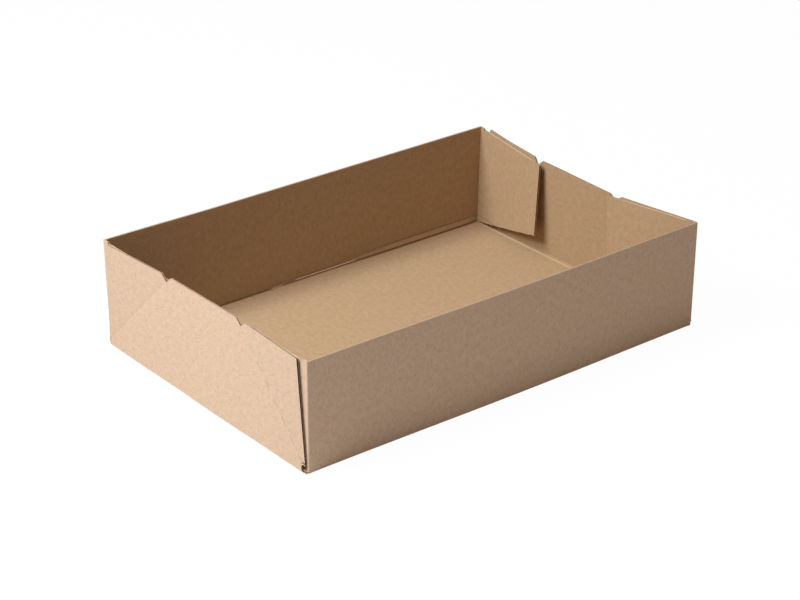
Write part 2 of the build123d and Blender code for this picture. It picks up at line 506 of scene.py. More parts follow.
@dataclass
class Tray:
    """The folded sheet: its base, long walls, end panels and glue flaps.

    Its grids share their positions: columns across the width and levels up the long walls,
    both on the flutes, and rows along the length. The scuffed stretch of the rows has a start,
    a stop and a spacing of its own.
    """

    board: Board = field(default_factory=Board)
    cut: Cut = field(default_factory=Cut)
    settle: Settle = field(default_factory=Settle)
    corners: tuple[Corner, ...] = (
        Corner(end=-1, wall=1, lean=2.4, wing_lift=0.8, relief=0.35, notch_depth=6.7 * MM,
               growth=-5.0 * MM, drop=2.0 * MM),
        Corner(end=-1, wall=-1, lean=2.4, wing_lift=0.7, perforated=True,
               notch_depth=5.8 * MM, growth=-5.0 * MM, drop=2.4 * MM),
        Corner(end=1, wall=1, lean=7.7, flap_spring=0.2, wing_lift=3.0, growth=2.4 * MM,
               foot_growth=1.6 * MM, notch_depth=6.5 * MM, wing_gap=9.8 * MM),
        Corner(end=1, wall=-1, lean=7.7, wing_lift=0.2, relief=0.35, wing_gap=8.8 * MM),
    )
    along_steps: float = 15.0 * MM
    flap_length: float = 110.0 * MM
    flap_foot_start: float = 7.0 * MM
    flap_foot_length: float = 104.5 * MM
    flap_foot_end: float = 26.0 * MM
    flap_drop: float = 1.4 * MM
    flap_drop_end: float = 4.0 * MM
    flap_places: tuple[float, float] = (3.4 * MM, 5.2 * MM)
    flap_columns: int = 12
    foot_end: float = 0.3 * MM
    corner_strip: float = 7.0 * MM
    strip_step: float = 1.5 * MM
    field_rows: int = 8
    wing_rows: int = 7
    foot_row: float = 2.6 * MM
    ledge_rows: tuple[float, ...] = (
        9.4 * MM, 8.4 * MM, 6.7 * MM, 6.0 * MM, 5.4 * MM, 4.2 * MM, 3.6 * MM, 20.0 * MM)
    scuffed: tuple[float, float, float] = (-54.0 * MM, 72.0 * MM, 4.0 * MM)
    fine_levels: tuple[float, ...] = (2.0 * MM, 2.6 * MM, 3.2 * MM, 3.7 * MM, 4.2 * MM)
    ragged: float = 0.3 * MM
    ragged_foot: float = 2.4 * MM
    ragged_spread: tuple[float, float] = (-1.0, 0.6)
    ragged_from: float = 10.0 * MM
    seed: int = 7

    def __post_init__(self) -> None:
        """Works out the shared places and grid positions from the sizes."""
        self.square = Fold(math.pi / 2.0, self.board)
        self.wall_end = self.cut.wall_end
        self.flat_half = self.cut.half_width - self.square.outer_start
        self.wall_stop = self.wall_end - self.board.thickness
        self.foot_stop = self.wall_end - self.foot_end
        self.columns = self.column_stations()
        self.rows = self.row_stations()
        self.levels = self.level_stations()

    def column_stations(self) -> np.ndarray:
        """Columns across the width, with those of the reliefs, wings, notches and slits.

        Returns:
            Their Y.
        """
        cut = self.cut
        reaches = [cut.relief_edge * c.relief for c in self.corners]
        reaches += [*(c.wing_gap for c in self.corners), cut.notch_from_corner]
        reaches += [cut.notch_from_corner + s * cut.notch_width / 2.0 for s in (-1, 1)]
        marks = [s * (cut.half_width - r) for s in (-1, 1) for r in reaches]
        marks += [r - cut.half_width for r in cut.slits().ravel()]
        return stations(-self.flat_half, self.flat_half, self.board.step, marks)

    def row_stations(self) -> np.ndarray:
        """Rows along the length, with those of the ledges, the walls' ends and the scuffs.

        Returns:
            Their X.
        """
        half = self.cut.length / 2.0
        places = [half - d for d in (*self.cut.end_ledge, *self.ledge_rows)]
        places += [self.wall_stop, self.foot_stop]
        marks = [s * x for s in (-1, 1) for x in places]
        marks += list(np.arange(*self.scuffed))
        last = half - self.cut.base_end
        return stations(-last, last, self.along_steps, marks)

    def level_stations(self) -> np.ndarray:
        """Levels up the long walls, with those of the flaps' outlines.

        They are spaced from the middle of the base, round the fold, to stay on the flutes.

        Returns:
            Their heights.
        """
        cut, square = self.cut, self.square
        shift = self.flat_half + square.outside * math.pi / 2.0 - square.outer_start
        marks = [self.flap_foot_end, *self.fine_levels, cut.height - self.flap_drop]
        marks += [cut.height - self.flap_drop_end - corner.drop for corner in self.corners]
        low, high = shift + square.outer_start, shift + cut.height
        return stations(low, high, self.board.step, [shift + z for z in marks]) - shift

    def corner(self, end: int, wall: int) -> Corner:
        """The corner at one end of one long wall."""
        return next(c for c in self.corners if (c.end, c.wall) == (end, wall))

    def by_side(self, end: int, name: str) -> np.ndarray:
        """A named size of one end's corners, for each column that of its own side."""
        upper, lower = (getattr(self.corner(end, wall), name) for wall in (1, -1))
        return np.where(self.columns > 0, upper, lower)

    def end_fold(self, end: int) -> Fold:
        """The fold between the base and an end panel."""
        return Fold(math.pi / 2.0 + math.radians(self.corner(end, 1).lean), self.board)

    def inset(self, place: np.ndarray, half: float) -> np.ndarray:
        """Inner liner's place along an axis, drawn in towards the folds at both its ends.

        Args:
            place: Outer liner's places, counted from the middle.
            half: Distance of the folds' outer corners from the middle.

        Returns:
            The inner liner's places.
        """
        return np.sign(place) * (half - self.square.inner_place(half - np.abs(place)))

    def base(self) -> list[Patch]:
        """Base panel, a flat grid with its columns on the flutes.

        Returns:
            One patch.
        """
        cut, half = self.cut, self.cut.length / 2.0
        x, y = np.meshgrid(self.rows, self.columns, indexing="ij")
        outer = np.stack([x, y, np.zeros_like(x)], -1)
        bead = self.ledge(half - np.abs(x), cut.half_width - np.abs(y), cut.end_ledge)
        top = np.full_like(x, self.board.thickness) + bead * cut.end_ledge_height
        inner = np.stack([self.inset(x, half), self.inset(y, cut.half_width), top], -1)
        return [Patch(outer, inner, np.stack([x, y], -1))]

    def ledge(self, away: np.ndarray, from_corner: np.ndarray,
              places: tuple[float | np.ndarray, float, float]) -> np.ndarray:
        """Height of a score's ledge, 0 to 1, which fades out short of the corners.

        Folding pushes the scored liner up: it slopes up from a start to a crest by the fold,
        and drops steeply behind that. A shallow valley lies before its start.

        Args:
            away: Distance from the fold's outer corner.
            from_corner: Distance from the nearest corner along it.
            places: Distance of the start, the crest and the foot behind it.

        Returns:
            The height as a share.
        """
        cut = self.cut
        start, crest, foot = places
        slope = np.clip((start - away) / (start - crest), 0.0, 1.0)
        back = smooth_step((away - foot) / (crest - foot))
        valley = cut.valley_depth * hump(away - start - cut.valley_half, cut.valley_half)
        return (slope * back - valley) * fade_in(from_corner, cut.ledge_fade)

    def long_wall(self, wall: int) -> list[Patch]:
        """Long wall with its base fold: the fold's section carried along the length.

        Args:
            wall: -1 at the lower Y, 1 at the higher Y.

        Returns:
            The wall, and the low strips that close it to the corner folds.
        """
        rows = self.rows[np.abs(self.rows) <= self.wall_stop + SLACK]
        feet = self.rows[np.abs(self.rows) <= self.foot_stop + SLACK]
        low = self.levels[:1]
        made = [self.wall_strip(wall, rows, self.levels)]
        for end in (-1, 1):
            foot = feet[end * feet >= self.wall_stop - SLACK]
            made.append(self.wall_strip(wall, foot, low))
        return made

    def wall_strip(self, wall: int, rows: np.ndarray, levels: np.ndarray) -> Patch:
        """Part of a long wall with its base fold.

        Args:
            wall: Which wall.
            rows: Places along the length.
            levels: Heights of the strip's grid.

        Returns:
            The patch.
        """
        cut, first = self.cut, np.array([self.square.outer_start])
        outer, inner, path = (part[1:] for part in self.square.profile(first, levels))
        x = np.broadcast_to(rows[:, None], (len(rows), len(path)))
        grown = fade_in(wall * x, cut.wall_growth_along)
        start, crest, foot = cut.wall_ledge
        places = (start + cut.wall_ledge_growth * grown, crest, foot)
        height = cut.wall_ledge_least + (1.0 - cut.wall_ledge_least) * grown
        height = height * fade_in(wall * x, cut.wall_ledge_along)
        proud = self.ledge(inner[None, :, 1], self.wall_end - np.abs(x), places)
        proud = proud * cut.wall_ledge_height * height
        proud[:, : -len(levels)] = 0.0
        made = []
        for side, along, bead in ((outer, x, 0.0), (inner, self.inset(x, self.wall_end), proud)):
            y = np.broadcast_to(wall * (cut.half_width + side[:, 0]), x.shape) - wall * bead
            z = np.broadcast_to(side[:, 1], x.shape)
            made.append(np.stack([along, y, z], -1))
        blank = np.stack([x, np.broadcast_to(wall * (cut.half_width + path), x.shape)], -1)
        return Patch(made[0], made[1], blank)

    def glue_flap(self, corner: Corner) -> list[Patch]:
        """Corner fold and glue flap: the fold's section at every level of the wall.

        Each level is as long as the flap's outline lets it be there. The first columns keep
        fixed places, so that the full-height strip by the fold shares them, and the others
        spread evenly to the outline.

        Args:
            corner: The corner that the flap is at.

        Returns:
            The flap and the strip above it.
        """
        fold = Fold(math.pi / 2.0 + corner.flap_turn, self.board)
        top = self.cut.height - self.flap_drop
        levels = self.levels
        lower = levels[levels <= top + SLACK]
        upper = levels[levels >= top - SLACK]
        strip = self.corner_strip
        fixed = np.array([fold.outer_start, *self.flap_places, strip, strip + self.strip_step])
        spread = np.linspace(0.0, 1.0, self.flap_columns + 1)[1:]
        made = []
        for heights, reach, share in (
            (lower, self.flap_outline(lower, corner), spread),
            (upper, self.strip_outline(upper), spread[:0]),
        ):
            places = np.minimum(fixed[None, :], reach[:, None])
            rest = np.maximum(reach[:, None] - fixed[-1], 0.0) * share
            places = np.concatenate([places, places[:, -1:] + rest], 1)
            made.append(self.folded_wall(fold, corner, heights, places))
        return made

    def flap_outline(self, levels: np.ndarray, corner: Corner) -> np.ndarray:
        """Free end of a flap at each level: along the rising lower edge, then the tapered end.

        Both cuts are slightly ragged, by a seeded random amount at each level.

        Args:
            levels: Heights on the wall.
            corner: The corner that the flap is at.

        Returns:
            Distance of the free end from the fold's outer corner.
        """
        foot = self.board.thickness + self.flap_foot_start * math.sin(corner.flap_turn)
        foot_length = self.flap_foot_length + corner.growth + corner.foot_growth
        length = self.flap_length + corner.growth
        drop = self.flap_drop_end + corner.drop
        low, top = self.square.outer_start, self.cut.height - drop
        rise = (levels - low) / (self.flap_foot_end - low)
        under = foot + (foot_length - foot) * rise
        taper = (levels - self.flap_foot_end) / (top - self.flap_foot_end)
        beside = foot_length + (length - foot_length) * taper
        step = self.corner_strip + self.strip_step
        slope = (levels - top) / (drop - self.flap_drop)
        over = length + (step - length) * slope
        rng = np.random.default_rng(self.seed + 2 * corner.end + corner.wall)
        rough = rng.uniform(*self.ragged_spread, len(levels))
        rough = rough * np.where(under < beside, self.ragged_foot, self.ragged)
        edge = np.minimum(under, beside)
        edge = edge + np.where(edge > self.ragged_from, rough, 0.0)
        return np.where(levels > top, over, edge)

    def strip_outline(self, levels: np.ndarray) -> np.ndarray:
        """End of the full-height strip at each level: a short slope down to the flap's top."""
        drop = (self.cut.height - levels) / self.flap_drop
        return self.corner_strip + self.strip_step * drop

    def folded_wall(
        self, fold: Fold, corner: Corner, levels: np.ndarray, places: np.ndarray
    ) -> Patch:
        """A grid that leaves a long wall, goes round the corner fold and along the flap.

        Args:
            fold: The corner fold.
            corner: The corner.
            levels: Heights of the grid's levels.
            places: Distances from the fold's outer corner, one row for each level.

        Returns:
            The patch.
        """
        before = np.array([self.board.thickness])
        lead, lead_in, lead_path = fold.profile(before, places[0, :1])
        lead, lead_in, lead_path = lead[:-1], lead_in[:-1], lead_path[:-1]
        lead_in[0, 0] = -self.square.inner_place(before)[0]
        onward = np.array([math.cos(fold.turn), math.sin(fold.turn)])
        square = self.board.thickness * np.array([-onward[1], onward[0]])
        tail = places[..., None] * onward
        tail_in = fold.inner_place(places)[..., None] * onward + square
        start = lead_path[-1] - fold.outer_start
        count = len(levels)
        heights = np.broadcast_to(levels[:, None], (count, len(lead) + places.shape[1]))
        inner_levels = self.square.inner_place(levels)
        sides = []
        for first, second, z in ((lead, tail, levels), (lead_in, tail_in, inner_levels)):
            flat = np.concatenate([np.broadcast_to(first, (count, *first.shape)), second], 1)
            x = corner.end * (self.wall_end + flat[..., 0])
            y = corner.wall * (self.cut.half_width - flat[..., 1])
            sides.append(np.stack([x, y, np.broadcast_to(z[:, None], x.shape)], -1))
        path = np.concatenate([np.broadcast_to(lead_path, (count, len(lead_path))),
                               start + places], 1)
        level_path = self.level_path(heights)
        blank = np.stack([corner.end * (self.wall_end + path), corner.wall * level_path], -1)
        return Patch(sides[0], sides[1], blank)

    def level_path(self, heights: np.ndarray) -> np.ndarray:
        """Length of sheet from the middle of the base to a height on a long wall."""
        around = self.square.outside * self.square.turn
        return self.cut.half_width + (heights + around - 2.0 * self.square.outer_start)

    def relief(self, reach: np.ndarray, size: np.ndarray) -> np.ndarray:
        """Lower edge of an end panel near a corner: the top of the relief's circle.

        Args:
            reach: Distance from the corner.
            size: Size of the relief there, 1 for the whole circle.

        Returns:
            Height of the edge.
        """
        cut = self.cut
        radius = cut.relief_radius * size
        off = np.minimum(np.abs(reach - cut.relief_inset * size), radius)
        circle = cut.relief_rise * size + np.sqrt(radius**2 - off**2)
        return np.where(reach < cut.relief_edge * size - SLACK, circle, cut.relief_rise)

    def rim(self, reach: np.ndarray, depth: np.ndarray, gap: np.ndarray) -> np.ndarray:
        """Upper edge of an end panel: the rim, less the notch, and the wing's free edge.

        Args:
            reach: Distance from the corner.
            depth: Depth of the notch there.
            gap: Distance of the wing's top from the corner.

        Returns:
            Height of the edge.
        """
        cut = self.cut
        off = np.abs(reach - cut.notch_from_corner) / (cut.notch_width / 2.0)
        rim = cut.height - depth * np.clip(1.0 - off, 0.0, 1.0)
        slope = (cut.height - cut.crease_start) / (gap - cut.wing_gap_foot)
        free = cut.crease_start + (reach - cut.wing_gap_foot) * slope
        return np.minimum(rim, free)

    def end_panel(self, end: int) -> list[Patch]:
        """End panel with its base fold, creases, wings and reliefs.

        Args:
            end: -1 at the lower X, 1 at the higher X.

        Returns:
            The foot band, and the panel above it.
        """
        fold = self.end_fold(end)
        reach = self.cut.half_width - np.abs(self.columns)
        heights = self.panel_heights(end, reach)
        panel = self.panel_patch(end, fold, heights)
        panel.keep = self.uncut(end, heights)
        return [self.foot_patch(end, fold, reach), panel]

    def panel_heights(self, end: int, reach: np.ndarray) -> np.ndarray:
        """Height of each grid point up an end panel.

        Columns run up the flutes. The rows are bands between limits that depend on the reach
        from the corner: the foot, the field up to the crease, the crease and the wing.

        Args:
            end: Which end.
            reach: Distance of each column from its corner.

        Returns:
            The heights, one row of columns for each limit.
        """
        cut = self.cut
        low = self.relief(reach, self.by_side(end, "relief"))
        rim = self.rim(reach, self.by_side(end, "notch_depth"), self.by_side(end, "wing_gap"))
        high = np.maximum(rim, low)
        offsets = cut.crease_half * np.array(cut.crease_rows)
        offsets = np.insert(offsets, 2, [-cut.slit_half, cut.slit_half])
        crease = np.minimum(cut.crease_start + reach, high)[None, :] + offsets[:, None]
        crease = np.clip(crease, low, high)
        field_share = np.linspace(0.0, 1.0, self.field_rows + 1)[:-1, None]
        wing_share = np.linspace(0.0, 1.0, self.wing_rows + 1)[1:, None]
        lower = low + (crease[0] - low) * field_share
        upper = crease[-1] + (high - crease[-1]) * wing_share
        return np.concatenate([lower, crease, upper])

    def uncut(self, end: int, heights: np.ndarray) -> np.ndarray:
        """Which cells of an end panel's grid stay: all but those in a perforation's cuts.

        The cuts are in the crease's middle band, between the limits of the slits.

        Args:
            end: Which end.
            heights: The panel's grid.

        Returns:
            True for each cell that stays.
        """
        keep = np.ones((heights.shape[0] - 1, heights.shape[1] - 1), bool)
        if self.corner(end, -1).perforated:
            middle = (self.columns[1:] + self.columns[:-1]) / 2.0 + self.cut.half_width
            first, last = self.cut.slits().T
            inside = ((middle[:, None] > first) & (middle[:, None] < last)).any(1)
            keep[self.field_rows + 2, inside] = False
        return keep

    def foot_patch(self, end: int, fold: Fold, reach: np.ndarray) -> Patch:
        """Fold between the base and an end panel: its section carried across the width.

        Where a relief bites into it, the section stops short, on the relief's circle.

        Args:
            end: Which end.
            fold: The fold.
            reach: Distance of each column from its corner.

        Returns:
            The patch.
        """
        cut, y = self.cut, self.columns
        before = np.array([cut.base_end, fold.outer_start])
        after = np.array([fold.outer_start, self.foot_row, cut.relief_rise])
        outer, inner, path = fold.profile(before, after)
        inner[0, 0] = -self.square.inner_place(before[:1])[0]
        size = self.by_side(end, "relief")
        radius = cut.relief_radius * size
        off = np.minimum(np.maximum(reach - cut.relief_inset * size, 0.0), radius)
        bite = cut.relief_rise * size - np.sqrt(radius**2 - off**2)
        bite = np.where(off < radius - SLACK, bite, cut.relief_rise)
        place = np.minimum(path[:, None], np.interp(bite, outer[:, 1], path)[None, :])
        sides = []
        for points, across in ((outer, y), (inner, self.inset(y, cut.half_width))):
            out, z = (np.interp(place, path, points[:, i]) for i in (0, 1))
            x = end * (cut.length / 2.0 + out)
            sides.append(np.stack([x, np.broadcast_to(across, x.shape), z], -1))
        u = end * (cut.length / 2.0 + place)
        return Patch(sides[0], sides[1], np.stack([u, np.broadcast_to(y, place.shape)], -1))

    def creased(
        self, end: int, y: np.ndarray, across: np.ndarray, depth: np.ndarray
    ) -> tuple[np.ndarray, np.ndarray]:
        """Turns the wings of an end panel about their diagonal creases.

        A point's offset from the diagonal and its depth in the board turn together: inside
        the crease the turn grows evenly from none to the whole, so the board's middle follows
        an arc, and past it both go on straight at the whole turn.

        Args:
            end: Which end.
            y: Y of each point, which tells its corner.
            across: Offset of each point from the diagonal.
            depth: Depth of each point from the middle of the board.

        Returns:
            The offsets and the depths after the turn.
        """
        half = self.cut.crease_half / math.sqrt(2.0)
        share = np.clip((across + half) / (2.0 * half), 0.0, 1.0)
        past = np.maximum(across - half, 0.0)
        offset, sunk = across, depth
        for wall in (-1, 1):
            turn = self.corner(end, wall).wing_turn
            angle, radius = turn * share, 2.0 * half / turn
            aside = radius * np.sin(angle) - half + past * math.cos(turn)
            aside += depth * np.sin(angle)
            deep = -radius * (1.0 - np.cos(angle)) - past * math.sin(turn)
            deep += depth * np.cos(angle)
            here = (y * wall > 0) & (across > -half)
            offset, sunk = np.where(here, aside, offset), np.where(here, deep, sunk)
        return offset, sunk

    def panel_patch(self, end: int, fold: Fold, heights: np.ndarray) -> Patch:
        """Folds the flat grid of an end panel about its creases and stands it in place.

        The crease is pressed in on both sides of the board.

        Args:
            end: Which end.
            fold: The base fold, for the panel's lean.
            heights: Height up the panel of each grid point.

        Returns:
            The patch.
        """
        cut, board = self.cut, self.board
        start = fold.outside * fold.turn - 2.0 * fold.outer_start
        lean = fold.turn - math.pi / 2.0
        half = cut.crease_half / math.sqrt(2.0)
        y = np.broadcast_to(self.columns, heights.shape)
        reach = cut.half_width - np.abs(y)
        pressed = reach < cut.notch_from_corner + cut.crease_overrun
        sides = []
        for side, dent in zip((-1, 1), cut.crease_dents):
            up = fold.inner_place(heights) if side > 0 else heights
            across = (up - cut.crease_start - reach) / math.sqrt(2.0)
            along = (up - cut.crease_start + reach) / math.sqrt(2.0)
            depth = np.full_like(up, 0.5 * side * board.thickness)
            depth = depth - side * dent * hump(across, half) * pressed
            offset, depth = self.creased(end, y, across, depth)
            rise = cut.crease_start + (along + offset) / math.sqrt(2.0)
            out = cut.half_width - (along - offset) / math.sqrt(2.0)
            inset = depth + board.thickness / 2.0
            x = cut.length / 2.0 - rise * math.sin(lean) - inset * math.cos(lean)
            z = rise * math.cos(lean) - inset * math.sin(lean)
            width = np.sign(y) * out
            if side > 0:
                fade = np.clip(1.0 - up / fold.reach, 0.0, 1.0)
                width = width + (self.inset(y, cut.half_width) - y) * fade
            sides.append(np.stack([end * x, width, z], -1))
        u = end * (cut.length / 2.0 + heights + start)
        return Patch(sides[0], sides[1], np.stack([u, y], -1))

    def patches(self) -> list[Patch]:
        """Every patch of the sheet, settled in its place.

        Returns:
            The patches of the base, the walls, the end panels and the flaps.
        """
        made = self.base()
        for wall in (-1, 1):
            made += self.long_wall(wall)
        near, far = self.end_panel(-1), self.end_panel(1)
        for patch in far:
            patch.outer, patch.inner = (self.settle.bow(p) for p in (patch.outer, patch.inner))
        made += near + far
        for corner in self.corners:
            made += self.glue_flap(corner)
        for patch in made:
            patch.outer = self.settle.settled(patch.outer, patch.blank)
            patch.inner = self.settle.settled(patch.inner, patch.blank)
        return made


@dataclass(frozen=True)
class Streak:
    """A line along a wall's inner crease, in millimetres of the blank: some are scuffs, others
    lines of painted shade.

    Its height and half width are counted up the wall. Where it is only a stretch of the
    crease, it has a start and a stop with soft ends.
    """

    strength: float
    height: float
    half: float
    start: float = 0.0
    stop: float = 0.0
    soft: float = 6.0

    def line(self, lift: np.ndarray, share: float | np.ndarray = 1.0) -> np.ndarray:
        """Colour at heights over the crease, at a share of its strength."""
        return self.strength * share * hump(lift - self.height, self.half)

    def stretch(self, along: np.ndarray, lift: np.ndarray) -> np.ndarray:
        """Colour at places along and over the crease, only from the start to the stop."""
        rise, fall = (self.start, self.soft), (self.stop, self.soft)
        return self.line(lift, fade_in(along, rise) * fade_out(along, fall))


@dataclass(frozen=True)
class WearAndPaintedLight:
    """Where the sheet's liners are rubbed and scuffed, and where highlight and shade are painted
    on them, by place in the blank.

    The sizes on the outside and of the open cuts are in metres, and those beside the inner
    creases in millimetres.
    """

    cut: Cut
    # The outer folds' ridges are rubbed paler, partly as painted highlight.
    fold: float = 0.35
    fold_width: float = 1.8 * MM
    ridge_offset: float = 0.3 * MM
    upright_from: float = 2.0 * MM
    foot_share: float = 0.6
    # Painted shade in the relief bite at the corner at the lower X and the lower Y.
    bite: float = 0.85
    bite_shade_along: Span = (1.8 * MM, 0.8 * MM)
    bite_shade_end: float = 14.0 * MM
    bite_shade_foot: float = 0.3 * MM
    bite_shade_top: Span = (9.5 * MM, 1.5 * MM)
    hollow_above: float = 6.0 * MM
    hollow_reach: float = 12.5 * MM
    soft: float = 0.8
    wall_from: float = 0.3
    wall_growth: Span = (30.0, 100.0)
    # Painted highlight on the face of each long wall's inner ledge, growing along the wall.
    wall_highlight: float = 0.12
    wall_highlight_from: float = 3.0
    wall_highlight_to: float = 4.1
    wall_highlight_growth: float = 3.4
    # Lines of painted shade above the ledge, below it, and in the crease at its foot.
    wall_shade_above: Streak = Streak(0.22, 8.9, 1.4)
    wall_shade_behind: Streak = Streak(0.25, 2.2, 1.0)
    wall_crease_shade: Streak = Streak(0.3, 1.6, 3.0)
    wall_crease_shade_end: Span = (-50.0, 20.0)
    # Scuffs of torn fibre, whose colour carries painted highlight; the one of negative strength
    # is a line of painted shade.
    scuffs_and_shade_line: tuple[Streak, ...] = (
        Streak(2.6, 3.1, 0.8, start=-16.0, stop=66.0),
        Streak(-0.3, 4.9, 1.2, start=-50.0, stop=66.0),
        Streak(2.2, 1.9, 1.1, start=-47.0, stop=-26.0),
    )
    base_to: float = -4.0
    # Painted highlight on the top of the ledge by each end, and painted shade at its foot and in
    # the valley before it.
    base_highlight: float = 0.3
    base_highlight_least: float = 0.4
    base_highlight_lap: float = 0.6
    base_fade: Span = (3.0, 60.0)
    base_foot_shade: float = 0.2
    base_valley_shade: float = 0.1
    base_line: float = 1.0

    def outside(self, blank: np.ndarray) -> np.ndarray:
        """Ridges of the base's and the walls' folds on the outside, rubbed paler with painted
        highlight.

        The bite at the corner at the lower X and the lower Y is painted dark, as shade in the
        relief.

        Args:
            blank: Places in the blank.

        Returns:
            The value at each, 0 to 1, or below 0 where shade is painted.
        """
        cut = self.cut
        u, v = np.abs(blank[:, 0]), np.abs(blank[:, 1])
        upright = hump(u - cut.wall_end - self.ridge_offset, self.fold_width)
        upright = upright * (v > cut.half_width + self.upright_from)
        foot = hump(u - cut.length / 2.0, self.fold_width) * (v < cut.half_width)
        reach = -blank[:, 0] - cut.wall_end
        level = -blank[:, 1] - cut.half_width
        # Painted shade in the bite.
        bite = fade_in(reach, self.bite_shade_along) * fade_out(level, self.bite_shade_top)
        bite = bite * (reach < self.bite_shade_end) * (level > self.bite_shade_foot)
        return self.fold * np.maximum(upright, self.foot_share * foot) - self.bite * bite

    def hollow(self, blank: np.ndarray) -> np.ndarray:
        """Whether a cut at a place runs along an open flute, as each wing's free edge does.
        There the inner lip and the fluting's rim take painted shade, for the slit by the flap.

        Args:
            blank: Places in the blank.

        Returns:
            True at each such place.
        """
        reach = self.cut.half_width - np.abs(blank[:, 1])
        above = np.abs(blank[:, 0]) > self.cut.length / 2.0 + self.hollow_above
        return above & (reach > 0.0) & (reach < self.hollow_reach)

    def inside(self, blank: np.ndarray) -> np.ndarray:
        """Painted highlight on the ledges of the inner creases, painted shade beside them, and a
        scuffed stretch of the one at higher Y.

        Args:
            blank: Places in the blank.

        Returns:
            The value at each: 0 to 1 where highlight is painted, above that where it is torn,
                and below 0 where shade is painted.
        """
        u, v = blank[:, 0], blank[:, 1]
        lift = (np.abs(v) - self.cut.half_width) / MM
        wall = self.wall_wear_and_light(u * np.sign(v) / MM, lift)
        base = self.base_painted_light(self.cut.length / 2.0 / MM - np.abs(u) / MM, lift)
        wall = np.where(lift > self.wall_from, wall, 0.0)
        return wall + np.where(lift < self.base_to, base, 0.0)

    def wall_wear_and_light(self, along: np.ndarray, lift: np.ndarray) -> np.ndarray:
        """Colour over the inner crease of a long wall: painted highlight on its ledge, painted
        shade beside it, and scuffs.

        Args:
            along: Places along the crease.
            lift: Heights over it.

        Returns:
            The wear at each.
        """
        grown = fade_in(along, self.wall_growth)
        top = self.wall_highlight_to + self.wall_highlight_growth * grown
        # Painted highlight on the ledge, less lines of painted shade beside it and in the
        # crease, plus the scuffs.
        wear = self.wall_highlight * grown * fade_in(lift, (self.wall_highlight_from, self.soft))
        wear = wear * fade_out(lift, (top, self.soft))
        wear = wear - self.wall_shade_above.line(lift, grown) - self.wall_shade_behind.line(lift)
        wear = wear - self.wall_crease_shade.line(lift, 1.0 - fade_in(along, self.wall_crease_shade_end))
        for streak in self.scuffs_and_shade_line:
            wear = wear + streak.stretch(along, lift)
        return wear

    def base_painted_light(self, away: np.ndarray, lift: np.ndarray) -> np.ndarray:
        """Painted light on the base beside an end: highlight on its ledge's top, and shade on
        both sides of it.

        Args:
            away: Distances from the end.
            lift: Heights over the long crease, below 0 on the base.

        Returns:
            The wear at each.
        """
        start, crest, foot = (p / MM for p in self.cut.end_ledge)
        top = smooth_step((start - away) / self.soft)
        top = top * smooth_step((away - crest + self.base_highlight_lap) / self.soft)
        least = self.base_highlight_least
        share = least + (1.0 - least) * fade_in(-lift, self.base_fade)
        # Painted highlight on the ledge's top, less painted shade at its foot and in the valley
        # before it.
        wear = self.base_highlight * share * top - self.base_foot_shade * hump(away - foot, self.base_line)
        valley = hump(away - start - self.base_line, self.base_line)
        return wear - self.base_valley_shade * valley


